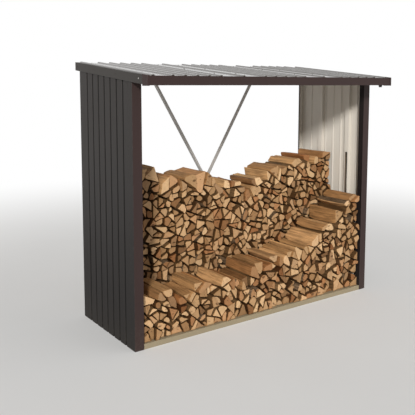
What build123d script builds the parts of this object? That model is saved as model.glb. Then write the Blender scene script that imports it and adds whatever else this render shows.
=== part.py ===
from build123d import *
import math
import os
import random

os.makedirs("parts", exist_ok=True)

# Metal log store with a lean-to roof, an open front and rear, and two rows of firewood
# Millimetres, +X to the right, +Y to the rear, +Z up
# The origin is on the ground, under the middle of the roof

# Overall sizes
WIDTH = 2300.0  # over the outer faces of the side walls
DEPTH = 820.0  # front face of the front posts to rear face of the rear posts
FRONT_OVERHANG = 215.0  # gutter face to front posts
REAR_OVERHANG = 60.0  # rear posts to rear trim
SIDE_OVERHANG = 8.0  # wall face to verge face
FRONT_HEIGHT = 1850.0  # top of the roof's flats at the gutter face
ROOF_RISE = 113.0  # rise of the roof from the gutter face to the rear trim
GAP = 0.3  # clearance between pieces that are not in face contact

# Sheet and folded sections
SHEET = 2.0
POST_FACE = 70.0  # width of the front post's face
POST_SIDE = 58.0  # depth of the post's outer flange
POST_RETURN = 50.0  # depth of the post's inner return
POST_LIP = 14.0  # inturned lip at the rear of the return
REAR_POST_FACE = 50.0
REAR_POST_SIDE = 40.0
REAR_POST_RETURN = 14.0

# Ribbed wall sheet
GROOVES = 7
GROOVE_MARGIN = 130.1  # middle of the outermost groove from the post's face
GROOVE_MOUTH = 20.0
GROOVE_FLOOR = 9.0
GROOVE_DEEP = 8.0

# Hat uprights on the inner face of the walls
HAT_WEB = 46.0
HAT_DEEP = 27.0
HAT_FLANGE = 12.0
SLOT_WIDE = 26.0
SLOT_LOW = 420.0
SLOT_HIGH = 1200.0

# Foot rails and floor bearers
RAIL_HIGH = 38.0
RAIL_DEEP = 42.0
BEARER_WIDE = 40.0
BEARER_IN = 42.0  # centre of a bearer from the end of the logs it carries

# Cross rails and rafters under the roof
HEADER_HIGH = 44.0
HEADER_DEEP = 36.0
RAFTER_WIDE = 30.0
RAFTER_HIGH = 44.0

# Roof panels
PANELS = 3
PANEL_RIBS = 5  # close ribs in the middle of a panel, with a wide flat on either side
WIDE_FLAT = 195.0  # middle of a seam rib to the middle of the next rib
SEAM_LAP = 8.0  # flat of the middle panel beyond its seam ribs
RIB_FOOT = 30.0
RIB_TOP = 14.0
RIB_HIGH = 9.0
ROOF_SHEET = 1.6

# Gutter, verge and trim
GUTTER_HIGH = 61.0
GUTTER_DEEP = 62.0
GUTTER_BACK = 38.0  # height of the gutter's rear wall
GUTTER_LIP = 10.0
CAP_WIDE = 16.0
CAP_PROUD = 3.0
CAP_ROUND = 5.0
VERGE_HIGH = 61.0
VERGE_TOP = 34.0
TRIM_FOOT = 30.0
SPOUT_RADIUS = 13.0
SPOUT_WALL = 2.0
SPOUT_DROP = 16.0
SPOUT_IN = 95.0  # centre of the spout from the gutter's right end

# Cross brace
BAR_LEG = 32.0
BAR_SHEET = 2.5
BRACE_HALF = 575.0  # half the width that the bars span
PLATE_SHEET = 2.0
PLATE_WIDE = 100.0
BAR_LEG_STOP = 150.0  # the standing legs end this far short of the bars' ends

# Firewood
LOG_BLOCK = 178.0  # a round of timber before it is split
LOG_LEAST = 52.0  # side of a square log of the smallest section
LOG_MOST = 80.0
TOP_LEAST = 87.0  # the same for the logs on top of a stack
TOP_MOST = 118.0
LOG_CORNER = 8.5  # corners nearer to each other than this become one
TOP_SUNK = 18.0  # the middles of the logs stay this far below the stack's line
TOP_PROUD = 12.0  # most that a log rises above the stack's line over its middle
LOG_UNEVEN = 13.0
FRONT_STACK_AT = 20.0  # front ends of the front stack behind the post face
STACKS_APART = 43.0
STACK_TO_POST = 47.0  # rear ends of the back stack to the rear posts
LOG_JOINT = 0.3
LOG_CLEAR = 1.0
FRONT_BAYS = (-390.0, 390.0)
BACK_BAYS = (-700.0, -230.0, 230.0, 700.0)

# Heights of the firewood above the ground, as (x, top)
FRONT_TOP = [(-1150.0, 372.0), (-980.0, 372.0), (-625.0, 362.0), (-262.0, 380.0), (-92.0, 402.0),
             (146.0, 440.0), (263.0, 452.0), (451.0, 500.0), (578.0, 552.0), (736.0, 620.0),
             (800.0, 680.0), (880.0, 790.0), (950.0, 860.0), (990.0, 900.0), (1150.0, 905.0)]
BACK_TOP = [(-1150.0, 1190.0), (-745.0, 1190.0), (-700.0, 1160.0), (-655.0, 1090.0), (-520.0, 1105.0),
            (-440.0, 1085.0), (-400.0, 1120.0), (-200.0, 1115.0), (-140.0, 1040.0), (-45.0, 1035.0),
            (70.0, 1035.0), (145.0, 985.0), (215.0, 985.0), (288.0, 1035.0), (372.0, 1085.0),
            (516.0, 1125.0), (785.0, 1155.0), (980.0, 1190.0), (1150.0, 1195.0)]

# Derived places
HALF = WIDTH / 2
ROOF_LENGTH = FRONT_OVERHANG + DEPTH + REAR_OVERHANG
Y_EAVE = (CAP_PROUD - ROOF_LENGTH) / 2
Y_FRONT = Y_EAVE + FRONT_OVERHANG
Y_REAR = Y_FRONT + DEPTH
Y_TRIM = Y_REAR + REAR_OVERHANG
GROOVE_PITCH = (DEPTH - 2 * GROOVE_MARGIN) / (GROOVES - 1)
PANEL_WIDE = (WIDTH + 2 * SIDE_OVERHANG) / PANELS
RIB_PITCH = (PANEL_WIDE - 2 * WIDE_FLAT) / (PANEL_RIBS - 1)
LOG_LENGTH = (DEPTH - REAR_POST_SIDE - FRONT_STACK_AT - STACKS_APART - STACK_TO_POST) / 2
BACK_STACK_AT = FRONT_STACK_AT + LOG_LENGTH + STACKS_APART
PURLIN_AT = (DEPTH - HEADER_DEEP) / 2
SLOPE = math.atan2(ROOF_RISE, ROOF_LENGTH)
SLOPE_RUN = (0, math.cos(SLOPE), math.sin(SLOPE))
ROOF_HALF = HALF + SIDE_OVERHANG
UNDER_SHEET = ROOF_SHEET + GAP
UNDER_RAFTER = UNDER_SHEET + RAFTER_HIGH
UNDER_HEADER = UNDER_SHEET + HEADER_HIGH
UNDER_FRAME = max(UNDER_RAFTER, UNDER_HEADER) + GAP
Y_BRACE = Y_REAR - PLATE_SHEET - 2 * BAR_SHEET


def roof_top(y):
    """Height of the roof's flats above the ground."""
    return FRONT_HEIGHT + (y - Y_EAVE) * math.tan(SLOPE)


def fold(path, sheet):
    """Outline of a folded sheet: the path is its outer face, the sheet lies on the path's left."""
    normals = []
    for (xa, ya), (xb, yb) in zip(path, path[1:]):
        run = math.hypot(xb - xa, yb - ya)
        normals.append(((ya - yb) / run, (xb - xa) / run))
    inner = []
    for i, (x, y) in enumerate(path):
        before = normals[max(i - 1, 0)]
        after = normals[min(i, len(normals) - 1)]
        share = 1 + before[0] * after[0] + before[1] * after[1]
        inner.append((x + (before[0] + after[0]) / share * sheet,
                      y + (before[1] + after[1]) / share * sheet))
    return path + inner[::-1]


def flip(points, side):
    """The same outline on the left (-1) or right (+1) side, drawn for the right."""
    return [(side * x, y) for x, y in points]


def across(x):
    """Upright plane that runs front to rear, for sections drawn as (y, z)."""
    return Plane(origin=(x, 0, 0), x_dir=(0, 1, 0), z_dir=(1, 0, 0))


def facing(y, z=0.0):
    """Upright plane that faces the front, for sections drawn as (x, z)."""
    return Plane(origin=(0, y, z), x_dir=(1, 0, 0), z_dir=(0, -1, 0))


def under_roof(drop):
    """Plane parallel to the roof, at a drop below its flats."""
    return Plane(origin=(0, Y_EAVE, FRONT_HEIGHT - drop), x_dir=(1, 0, 0),
                 z_dir=(0, -math.sin(SLOPE), math.cos(SLOPE)))


# Side walls: sheet with seven pressed grooves, cut to the slope of the roof
TALL = roof_top(Y_TRIM)
FIRST_GROOVE = Y_FRONT + GROOVE_MARGIN
wall_front = Y_FRONT + POST_SIDE + GAP
wall_rear = Y_REAR - REAR_POST_SIDE - GAP

wall_face = [(HALF, wall_front)]
for i in range(GROOVES):
    at = FIRST_GROOVE + i * GROOVE_PITCH
    wall_face.append((HALF, at - GROOVE_MOUTH / 2))
    wall_face.append((HALF - GROOVE_DEEP, at - GROOVE_FLOOR / 2))
    wall_face.append((HALF - GROOVE_DEEP, at + GROOVE_FLOOR / 2))
    wall_face.append((HALF, at + GROOVE_MOUTH / 2))
wall_face.append((HALF, wall_rear))
wall_back = [(x - SHEET, y) for x, y in reversed(wall_face)]

for side, name in ((-1, "side_wall_left"), (1, "side_wall_right")):
    with BuildPart() as wall:
        with BuildSketch(Plane.XY):
            with BuildLine():
                Polyline(*flip(wall_face + wall_back, side), close=True)
            make_face()
        extrude(amount=TALL)
        split(bisect_by=under_roof(UNDER_SHEET), keep=Keep.BOTTOM)
    wall.part.label = name
    export_step(wall.part, f"parts/{name}.step")

# Front posts: folded section, open to the rear, with a lip on the inner return
front_post = fold([
    (HALF, Y_FRONT + POST_SIDE),
    (HALF, Y_FRONT),
    (HALF - POST_FACE, Y_FRONT),
    (HALF - POST_FACE, Y_FRONT + POST_RETURN),
    (HALF - POST_FACE + POST_LIP, Y_FRONT + POST_RETURN),
][::-1], SHEET)

for side, name in ((-1, "front_post_left"), (1, "front_post_right")):
    with BuildPart() as post:
        with BuildSketch(Plane.XY):
            with BuildLine():
                Polyline(*flip(front_post, side), close=True)
            make_face()
        extrude(amount=TALL)
        split(bisect_by=under_roof(UNDER_FRAME), keep=Keep.BOTTOM)
    post.part.label = name
    export_step(post.part, f"parts/{name}.step")

# Rear posts: channel, open to the front
rear_post = fold([
    (HALF, Y_REAR - REAR_POST_SIDE),
    (HALF, Y_REAR),
    (HALF - REAR_POST_FACE, Y_REAR),
    (HALF - REAR_POST_FACE, Y_REAR - REAR_POST_RETURN),
], SHEET)

for side, name in ((-1, "rear_post_left"), (1, "rear_post_right")):
    with BuildPart() as post:
        with BuildSketch(Plane.XY):
            with BuildLine():
                Polyline(*flip(rear_post, side), close=True)
            make_face()
        extrude(amount=TALL)
        split(bisect_by=under_roof(UNDER_FRAME), keep=Keep.BOTTOM)
    post.part.label = name
    export_step(post.part, f"parts/{name}.step")

# Hat uprights against the inner face of the walls, the front one with a long slot
hat_front = FIRST_GROOVE + GROOVE_PITCH
hat_rear = FIRST_GROOVE + 4.5 * GROOVE_PITCH
hat_top = UNDER_RAFTER + GAP

for side, row, at, name in (
    (-1, 0, hat_front, "wall_upright_left_front"),
    (-1, 1, hat_rear, "wall_upright_left_rear"),
    (1, 0, hat_front, "wall_upright_right_front"),
    (1, 1, hat_rear, "wall_upright_right_rear"),
):
    root = HALF - SHEET
    crown = root - HAT_DEEP
    hat = fold([
        (root - SHEET, at + HAT_WEB / 2 + HAT_FLANGE),
        (root - SHEET, at + HAT_WEB / 2),
        (crown, at + HAT_WEB / 2),
        (crown, at - HAT_WEB / 2),
        (root - SHEET, at - HAT_WEB / 2),
        (root - SHEET, at - HAT_WEB / 2 - HAT_FLANGE),
    ], SHEET)
    with BuildPart() as upright:
        with BuildSketch(Plane.XY.offset(RAIL_HIGH + GAP)):
            with BuildLine():
                Polyline(*flip(hat, side), close=True)
            make_face()
        extrude(amount=TALL)
        split(bisect_by=under_roof(hat_top), keep=Keep.BOTTOM)
        if row == 0:
            with BuildSketch(across(side * crown)):
                with Locations((at, (SLOT_LOW + SLOT_HIGH) / 2)):
                    SlotOverall(SLOT_HIGH - SLOT_LOW, SLOT_WIDE, rotation=90)
            extrude(amount=SHEET * 2, both=True, mode=Mode.SUBTRACT)
    upright.part.label = name
    export_step(upright.part, f"parts/{name}.step")

# Foot rails: channels that open inwards
rail_reach = HALF - POST_FACE - GAP
rail_front = fold([
    (Y_FRONT + RAIL_DEEP, RAIL_HIGH),
    (Y_FRONT + SHEET, RAIL_HIGH),
    (Y_FRONT + SHEET, 0),
    (Y_FRONT + RAIL_DEEP, 0),
], SHEET)
with BuildPart() as foot_rail_front:
    with BuildSketch(across(-rail_reach)):
        with BuildLine():
            Polyline(*rail_front, close=True)
        make_face()
    extrude(amount=2 * rail_reach)
foot_rail_front.part.label = "foot_rail_front"
export_step(foot_rail_front.part, "parts/foot_rail_front.step")

rear_reach = HALF - REAR_POST_FACE - GAP
rail_rear = fold([
    (Y_BRACE - RAIL_DEEP, 0),
    (Y_BRACE, 0),
    (Y_BRACE, RAIL_HIGH),
    (Y_BRACE - RAIL_DEEP, RAIL_HIGH),
], SHEET)
with BuildPart() as foot_rail_rear:
    with BuildSketch(across(-rear_reach)):
        with BuildLine():
            Polyline(*rail_rear, close=True)
        make_face()
    extrude(amount=2 * rear_reach)
foot_rail_rear.part.label = "foot_rail_rear"
export_step(foot_rail_rear.part, "parts/foot_rail_rear.step")

rail_outer = HALF - GROOVE_DEEP - SHEET - GAP
rail_inner = rail_outer - RAIL_DEEP
rail_start = Y_FRONT + POST_SIDE + GAP
rail_end = Y_BRACE - RAIL_DEEP - GAP
rail_side = fold([
    (rail_inner, 0),
    (rail_outer, 0),
    (rail_outer, RAIL_HIGH),
    (rail_inner, RAIL_HIGH),
], SHEET)
for side, name in ((-1, "foot_rail_left"), (1, "foot_rail_right")):
    with BuildPart() as rail:
        with BuildSketch(facing(rail_end)):
            with BuildLine():
                Polyline(*flip(rail_side, side), close=True)
            make_face()
        extrude(amount=rail_end - rail_start)
    rail.part.label = name
    export_step(rail.part, f"parts/{name}.step")

# Floor bearers: three channels, open downwards, between the side rails
bearer_reach = rail_inner - GAP
with BuildPart() as floor_bearers:
    with BuildSketch(across(-bearer_reach)):
        for at in (
            FRONT_STACK_AT + LOG_LENGTH - BEARER_IN,
            BACK_STACK_AT + BEARER_IN,
            BACK_STACK_AT + LOG_LENGTH - BEARER_IN,
        ):
            middle = Y_FRONT + at
            with BuildLine():
                Polyline(*fold([
                    (middle + BEARER_WIDE / 2, 0),
                    (middle + BEARER_WIDE / 2, RAIL_HIGH),
                    (middle - BEARER_WIDE / 2, RAIL_HIGH),
                    (middle - BEARER_WIDE / 2, 0),
                ], SHEET), close=True)
            make_face()
    extrude(amount=2 * bearer_reach)
floor_bearers.part.label = "floor_bearers"
export_step(floor_bearers.part, "parts/floor_bearers.step")

# Side rafters: channels along the slope, inside the walls, from gutter to rear trim
rafter_outer = HALF - GROOVE_DEEP - SHEET - GAP
rafter_inner = rafter_outer - RAFTER_WIDE
rafter_start = Y_EAVE + GUTTER_DEEP + GAP
rafter_end = Y_TRIM - SHEET - GAP
rafter = fold([
    (rafter_inner, -UNDER_RAFTER),
    (rafter_outer, -UNDER_RAFTER),
    (rafter_outer, -UNDER_SHEET),
    (rafter_inner, -UNDER_SHEET),
], SHEET)
for side, name in ((-1, "rafter_left"), (1, "rafter_right")):
    with BuildPart() as beam:
        with BuildSketch(facing(rafter_start, roof_top(rafter_start))):
            with BuildLine():
                Polyline(*flip(rafter, side), close=True)
            make_face()
        extrude(amount=(rafter_end - rafter_start) / math.cos(SLOPE), dir=SLOPE_RUN)
    beam.part.label = name
    export_step(beam.part, f"parts/{name}.step")

# Cross rails between the rafters, their upper flange on the slope
header_reach = rafter_inner - GAP
for name, low, high, opens in (
    ("header_front", Y_FRONT + SHEET, Y_FRONT + SHEET + HEADER_DEEP, 1),
    ("roof_purlin", Y_FRONT + PURLIN_AT, Y_FRONT + PURLIN_AT + HEADER_DEEP, 1),
    ("header_rear", Y_BRACE - HEADER_DEEP, Y_BRACE, -1),
):
    web, tip = (low, high) if opens > 0 else (high, low)
    section = [
        (tip, roof_top(tip) - UNDER_SHEET),
        (web, roof_top(web) - UNDER_SHEET),
        (web, roof_top(web) - UNDER_HEADER),
        (tip, roof_top(tip) - UNDER_HEADER),
    ]
    with BuildPart() as header:
        with BuildSketch(across(-header_reach)):
            with BuildLine():
                Polyline(*fold(section if opens > 0 else section[::-1], SHEET), close=True)
            make_face()
        extrude(amount=2 * header_reach)
    header.part.label = name
    export_step(header.part, f"parts/{name}.step")

# Roof panels: ribbed sheet with close ribs between wide flats. The middle panel has a seam rib
# along each side, and the outer panels have a rib beside the verge.
sheet_start = Y_EAVE + GUTTER_LIP + SHEET
sheet_end = Y_TRIM - SHEET - GAP
sheet_edge = ROOF_HALF - SHEET - GAP
seam = PANEL_WIDE / 2
verge_rib = ROOF_HALF - VERGE_TOP - GAP - RIB_FOOT / 2


def close_ribs(centre):
    """Middles of the close ribs of the panel about a centre."""
    return [centre + (k - (PANEL_RIBS - 1) / 2) * RIB_PITCH for k in range(PANEL_RIBS)]


def ribbed(x_from, x_to, middles):
    """Section of a ribbed panel, with the flats' upper face at zero."""
    face = [(x_from, 0)]
    for middle in middles:
        face.append((middle - RIB_FOOT / 2, 0))
        face.append((middle - RIB_TOP / 2, RIB_HIGH))
        face.append((middle + RIB_TOP / 2, RIB_HIGH))
        face.append((middle + RIB_FOOT / 2, 0))
    face.append((x_to, 0))
    return face + [(x, z - ROOF_SHEET) for x, z in reversed(face)]


lap = seam + RIB_FOOT / 2 + SEAM_LAP
for name, x_from, x_to, middles in (
    ("roof_panel_left", -sheet_edge, -lap - GAP, [-verge_rib, *close_ribs(-PANEL_WIDE)]),
    ("roof_panel_middle", -lap, lap, [-seam, *close_ribs(0), seam]),
    ("roof_panel_right", lap + GAP, sheet_edge, [*close_ribs(PANEL_WIDE), verge_rib]),
):
    with BuildPart() as panel:
        with BuildSketch(facing(sheet_start, roof_top(sheet_start))):
            with BuildLine():
                Polyline(*ribbed(x_from, x_to, middles), close=True)
            make_face()
        extrude(amount=(sheet_end - sheet_start) / math.cos(SLOPE), dir=SLOPE_RUN)
    panel.part.label = name
    export_step(panel.part, f"parts/{name}.step")

# Front gutter, open upwards, with a folded lip at its front edge
gutter_top = roof_top(Y_EAVE) + SHEET + GAP
gutter_foot = gutter_top - GUTTER_HIGH
gutter_half = ROOF_HALF - SHEET - GAP
gutter_section = fold([
    (Y_EAVE + GUTTER_LIP, gutter_top),
    (Y_EAVE, gutter_top),
    (Y_EAVE, gutter_foot),
    (Y_EAVE + GUTTER_DEEP, gutter_foot),
    (Y_EAVE + GUTTER_DEEP, gutter_foot + GUTTER_BACK),
], SHEET)
spout_x = ROOF_HALF - SPOUT_IN
spout_y = Y_EAVE + GUTTER_DEEP / 2
with BuildPart() as gutter:
    with BuildSketch(across(-gutter_half)):
        with BuildLine():
            Polyline(*gutter_section, close=True)
        make_face()
    extrude(amount=2 * gutter_half)
    with Locations((spout_x, spout_y, gutter_foot + SHEET)):
        Hole(radius=SPOUT_RADIUS, depth=2 * SHEET)
gutter.part.label = "gutter"
export_step(gutter.part, "parts/gutter.step")

# Outlet spout under the gutter, with a flange in its floor hole
with BuildPart() as spout:
    with BuildSketch(Plane.XY.offset(gutter_foot - SPOUT_DROP)):
        with Locations((spout_x, spout_y)):
            Circle(SPOUT_RADIUS - GAP)
            Circle(SPOUT_RADIUS - GAP - SPOUT_WALL, mode=Mode.SUBTRACT)
    extrude(amount=SPOUT_DROP + SHEET)
    with BuildSketch(Plane.XY.offset(gutter_foot - GAP)):
        with Locations((spout_x, spout_y)):
            Circle(SPOUT_RADIUS + 2 * SPOUT_WALL)
            Circle(SPOUT_RADIUS - GAP - SPOUT_WALL, mode=Mode.SUBTRACT)
    extrude(amount=-SPOUT_WALL)
spout.part.label = "gutter_spout"
export_step(spout.part, "parts/gutter_spout.step")

# End caps: an end plate with rims that wrap the gutter and the corner of the roof
cap_front = Y_EAVE - CAP_PROUD
cap_back = Y_EAVE + GUTTER_DEEP + CAP_PROUD
cap_foot = gutter_foot - CAP_PROUD
cap_over = SHEET + GAP + CAP_PROUD  # top of the cap above the roof's flats
pocket_front = Y_EAVE - GAP
pocket_foot = gutter_foot - GAP
pocket_over = SHEET + 2 * GAP
for side, name in ((-1, "gutter_cap_left"), (1, "gutter_cap_right")):
    with BuildPart() as cap:
        with BuildSketch(across(side * ROOF_HALF)):
            with BuildLine():
                Polyline(
                    (cap_front, cap_foot),
                    (cap_back, cap_foot),
                    (cap_back, roof_top(cap_back) + cap_over),
                    (cap_front, roof_top(cap_front) + cap_over),
                    close=True,
                )
            make_face()
        extrude(amount=-side * CAP_WIDE)
        fillet(cap.edges().filter_by(Axis.X).sort_by(Axis.Y)[:2], CAP_ROUND / 2)
        with BuildSketch(across(side * (ROOF_HALF - SHEET))):
            with BuildLine():
                Polyline(
                    (pocket_front, pocket_foot),
                    (cap_back + SHEET, pocket_foot),
                    (cap_back + SHEET, roof_top(cap_back + SHEET) + pocket_over),
                    (pocket_front, roof_top(pocket_front) + pocket_over),
                    close=True,
                )
            make_face()
        extrude(amount=-side * CAP_WIDE, mode=Mode.SUBTRACT)
    cap.part.label = name
    export_step(cap.part, f"parts/{name}.step")

# Verges: flashings along the sloping edges, behind the end caps
verge_start = Y_EAVE + GUTTER_DEEP + CAP_PROUD + GAP
verge_end = Y_TRIM
verge = fold([
    (ROOF_HALF - VERGE_TOP, SHEET + GAP),
    (ROOF_HALF, SHEET + GAP),
    (ROOF_HALF, SHEET + GAP - VERGE_HIGH),
    (HALF + GAP, SHEET + GAP - VERGE_HIGH),
][::-1], SHEET)
for side, name in ((-1, "verge_left"), (1, "verge_right")):
    with BuildPart() as flashing:
        with BuildSketch(facing(verge_start, roof_top(verge_start))):
            with BuildLine():
                Polyline(*flip(verge, side), close=True)
            make_face()
        extrude(amount=(verge_end - verge_start) / math.cos(SLOPE), dir=SLOPE_RUN)
    flashing.part.label = name
    export_step(flashing.part, f"parts/{name}.step")

# Rear trim: closes the ends of the ribs and stiffens the rear edge
trim_reach = ROOF_HALF - SHEET - GAP
trim_foot = roof_top(Y_TRIM) - UNDER_RAFTER - SHEET - 2 * GAP
with BuildPart() as rear_trim:
    with BuildSketch(across(-trim_reach)):
        with BuildLine():
            Polyline(*fold([
                (Y_TRIM - TRIM_FOOT, trim_foot - TRIM_FOOT * math.tan(SLOPE)),
                (Y_TRIM, trim_foot),
                (Y_TRIM, roof_top(Y_TRIM)),
            ], SHEET), close=True)
        make_face()
    extrude(amount=2 * trim_reach)
rear_trim.part.label = "roof_rear_trim"
export_step(rear_trim.part, "parts/roof_rear_trim.step")

# Cross brace: two angle bars, back to back where they cross, on four plates
header_middle = roof_top(Y_BRACE) - UNDER_SHEET - HEADER_HIGH / 2
rail_middle = RAIL_HIGH / 2
brace_rise = header_middle - rail_middle
brace_length = math.hypot(2 * BRACE_HALF, brace_rise)
brace_centre = (0.0, (header_middle + rail_middle) / 2)
brace_angle = math.degrees(math.atan2(brace_rise, 2 * BRACE_HALF))
front_layer = Y_BRACE + PLATE_SHEET
rear_layer = front_layer + BAR_SHEET

for lean, name, near, far in (
    (-1, "brace_bar_falling", front_layer, front_layer + BAR_SHEET),
    (1, "brace_bar_rising", rear_layer, rear_layer + BAR_SHEET),
):
    turn = lean * brace_angle
    edge = BAR_LEG / 2 - BAR_SHEET / 2
    edge_at = (brace_centre[0] + edge * math.sin(math.radians(turn)),
               brace_centre[1] - edge * math.cos(math.radians(turn)))
    with BuildPart() as bar:
        with BuildSketch(facing(far)):
            with Locations(brace_centre):
                Rectangle(brace_length, BAR_LEG, rotation=turn)
        extrude(amount=far - near)
        with BuildSketch(facing(far if lean < 0 else near + BAR_LEG)):
            with Locations(edge_at):
                Rectangle(brace_length - 2 * BAR_LEG_STOP, BAR_SHEET, rotation=turn)
        extrude(amount=BAR_LEG)
    bar.part.label = name
    export_step(bar.part, f"parts/{name}.step")

plate_tall = min(HEADER_HIGH, RAIL_HIGH) - 2 * SHEET
with BuildPart() as brace_plates:
    for x, z, thick in (
        (-BRACE_HALF, header_middle, PLATE_SHEET),
        (BRACE_HALF, rail_middle, PLATE_SHEET),
        (BRACE_HALF, header_middle, PLATE_SHEET + BAR_SHEET),
        (-BRACE_HALF, rail_middle, PLATE_SHEET + BAR_SHEET),
    ):
        with BuildSketch(facing(Y_BRACE + thick)):
            with Locations((x, z)):
                Rectangle(PLATE_WIDE, plate_tall)
        extrude(amount=thick)
brace_plates.part.label = "brace_plates"
export_step(brace_plates.part, "parts/brace_plates.step")

# Firewood: split logs that fill a stack as close-fitting wedges


def clip(outline, px, pz, nx, nz):
    """Part of a convex outline behind the line through (px, pz) with the outward normal (nx, nz)."""
    kept = []
    for (xa, za), (xb, zb) in zip(outline, outline[1:] + outline[:1]):
        da = (xa - px) * nx + (za - pz) * nz
        db = (xb - px) * nx + (zb - pz) * nz
        if da <= 0:
            kept.append((xa, za))
        if (da < 0 < db) or (db < 0 < da):
            t = da / (da - db)
            kept.append((xa + (xb - xa) * t, za + (zb - za) * t))
    return kept


def area(outline):
    """Area of an outline."""
    return abs(sum(xa * zb - xb * za for (xa, za), (xb, zb)
                   in zip(outline, outline[1:] + outline[:1]))) / 2


def middle_of(outline):
    """Mean of an outline's corners."""
    return (sum(x for x, z in outline) / len(outline), sum(z for x, z in outline) / len(outline))


def pull_in(outline, by):
    """Convex outline with every side moved inwards."""
    cx, cz = middle_of(outline)
    result = outline
    for (xa, za), (xb, zb) in zip(outline, outline[1:] + outline[:1]):
        run = math.hypot(xb - xa, zb - za)
        if run < 1e-6:
            continue
        nx, nz = (zb - za) / run, (xa - xb) / run
        if (cx - xa) * nx + (cz - za) * nz > 0:
            nx, nz = -nx, -nz
        result = clip(result, xa - nx * by, za - nz * by, nx, nz)
    return result


def tidy(outline, shortest):
    """Outline without corners that lie closer together than a shortest side."""
    points = list(outline)
    i = 0
    while len(points) > 3 and i < len(points):
        xa, za = points[i]
        xb, zb = points[(i + 1) % len(points)]
        if math.hypot(xb - xa, zb - za) < shortest:
            points.pop((i + 1) % len(points))
        else:
            i += 1
    return points


def height_at(profile, x):
    """Height of a stack at x, between the given points."""
    for (xa, za), (xb, zb) in zip(profile, profile[1:]):
        if x <= xb:
            return za + (zb - za) * max(0.0, (x - xa) / (xb - xa))
    return profile[-1][1]


def chop(outline, rng):
    """Split an outline across its length, near its middle."""
    cx, cz = middle_of(outline)
    xx = sum((x - cx) ** 2 for x, z in outline)
    xz = sum((x - cx) * (z - cz) for x, z in outline)
    zz = sum((z - cz) ** 2 for x, z in outline)
    along = math.atan2(2 * xz, xx - zz) / 2
    for tries in range(8):
        turn = along + rng.gauss(0, 0.38)
        slide = rng.uniform(-0.13, 0.13) * math.sqrt(area(outline))
        px, pz = cx + slide * math.cos(along), cz + slide * math.sin(along)
        parts = [tidy(clip(outline, px, pz, side * math.cos(turn), side * math.sin(turn)), LOG_CORNER)
                 for side in (1, -1)]
        if min(map(len, parts)) >= 3 and min(map(area, parts)) > LOG_LEAST ** 2 * 0.45:
            return parts
    return []


def stack(profile, reach, seed):
    """Outlines of the logs in a stack that stands on the foot rails: rounds, each split into logs."""
    rng = random.Random(seed)
    floor = RAIL_HIGH
    seeds = []
    row = 0
    z = floor + LOG_BLOCK * 0.3
    while z < max(top for x, top in profile) + 2 * LOG_BLOCK:
        x = -reach + (0.3 if row % 2 else 0.75) * LOG_BLOCK - LOG_BLOCK
        while x < reach + LOG_BLOCK:
            seeds.append((x + rng.uniform(-0.26, 0.26) * LOG_BLOCK,
                          z + rng.uniform(-0.22, 0.22) * LOG_BLOCK))
            x += LOG_BLOCK
        z += LOG_BLOCK * 0.86
        row += 1
    outlines = []
    for sx, sz in seeds:
        if abs(sx) > reach or sz > height_at(profile, sx) + LOG_BLOCK:
            continue
        size = 2 * LOG_BLOCK
        cell = [(sx - size, sz - size), (sx + size, sz - size), (sx + size, sz + size), (sx - size, sz + size)]
        for ox, oz in seeds:
            away = math.hypot(ox - sx, oz - sz)
            if 0 < away < 3 * LOG_BLOCK and abs(ox) <= reach:
                cell = clip(cell, (sx + ox) / 2, (sz + oz) / 2, (ox - sx) / away, (oz - sz) / away)
        cell = clip(cell, 0, floor, 0, -1)
        cell = clip(cell, -reach, 0, -1, 0)
        cell = clip(cell, reach, 0, 1, 0)
        left = [cell] if len(cell) >= 3 else []
        while left:
            piece = left.pop()
            cx, cz = middle_of(piece)
            depth = height_at(profile, cx) - cz
            least, most = (TOP_LEAST, TOP_MOST) if abs(depth) < LOG_MOST else (LOG_LEAST, LOG_MOST)
            parts = []
            if area(piece) > rng.uniform(least ** 2, most ** 2) * 1.25:
                parts = chop(piece, rng)
            if parts:
                left += parts
                continue
            piece = clip(piece, 0, height_at(profile, cx) + TOP_PROUD, 0, 1)
            if len(piece) < 3:
                continue
            shape = tidy(pull_in(piece, LOG_JOINT / 2), LOG_CORNER)
            if depth > TOP_SUNK and len(shape) >= 3 and area(shape) > LOG_LEAST ** 2 / 11:
                outlines.append((shape, rng.randrange(4)))
    return outlines


def bay_of(x, bounds):
    """Number of the bay in which x lies."""
    return sum(1 for bound in bounds if x > bound)


log_count = 0
for row_name, profile, reach, at, bounds, seed in (
    ("firewood_front", FRONT_TOP, HALF - POST_FACE - LOG_CLEAR, FRONT_STACK_AT, FRONT_BAYS, 7),
    ("firewood_back", BACK_TOP, HALF - SHEET - HAT_DEEP - LOG_CLEAR, BACK_STACK_AT, BACK_BAYS, 11),
):
    outlines = stack(profile, reach, seed)
    log_count += len(outlines)
    for bay in range(len(bounds) + 1):
        name = f"{row_name}_{bay + 1}"
        mine = [o for o in outlines if bay_of(middle_of(o[0])[0], bounds) == bay]
        with BuildPart() as firewood:
            for step in range(4):
                rear = Y_FRONT + at + LOG_LENGTH + (step - 1.5) * LOG_UNEVEN / 1.5
                with BuildSketch(facing(rear)):
                    add([Face(Wire.make_polygon([Vector(x, 0, 0) + Vector(0, z, 0) for x, z in shape]))
                         for shape, which in mine if which == step])
                extrude(amount=LOG_LENGTH)
        firewood.part.label = name
        export_step(firewood.part, f"parts/{name}.step")
print("logs", log_count)
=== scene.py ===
"""Looks of a metal log store with a lean-to roof and two rows of split firewood."""

import math
import random

import bmesh
import bpy
from bpy.props import FloatProperty, FloatVectorProperty, IntProperty, PointerProperty
from mathutils import Euler, Matrix, Vector, noise


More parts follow.
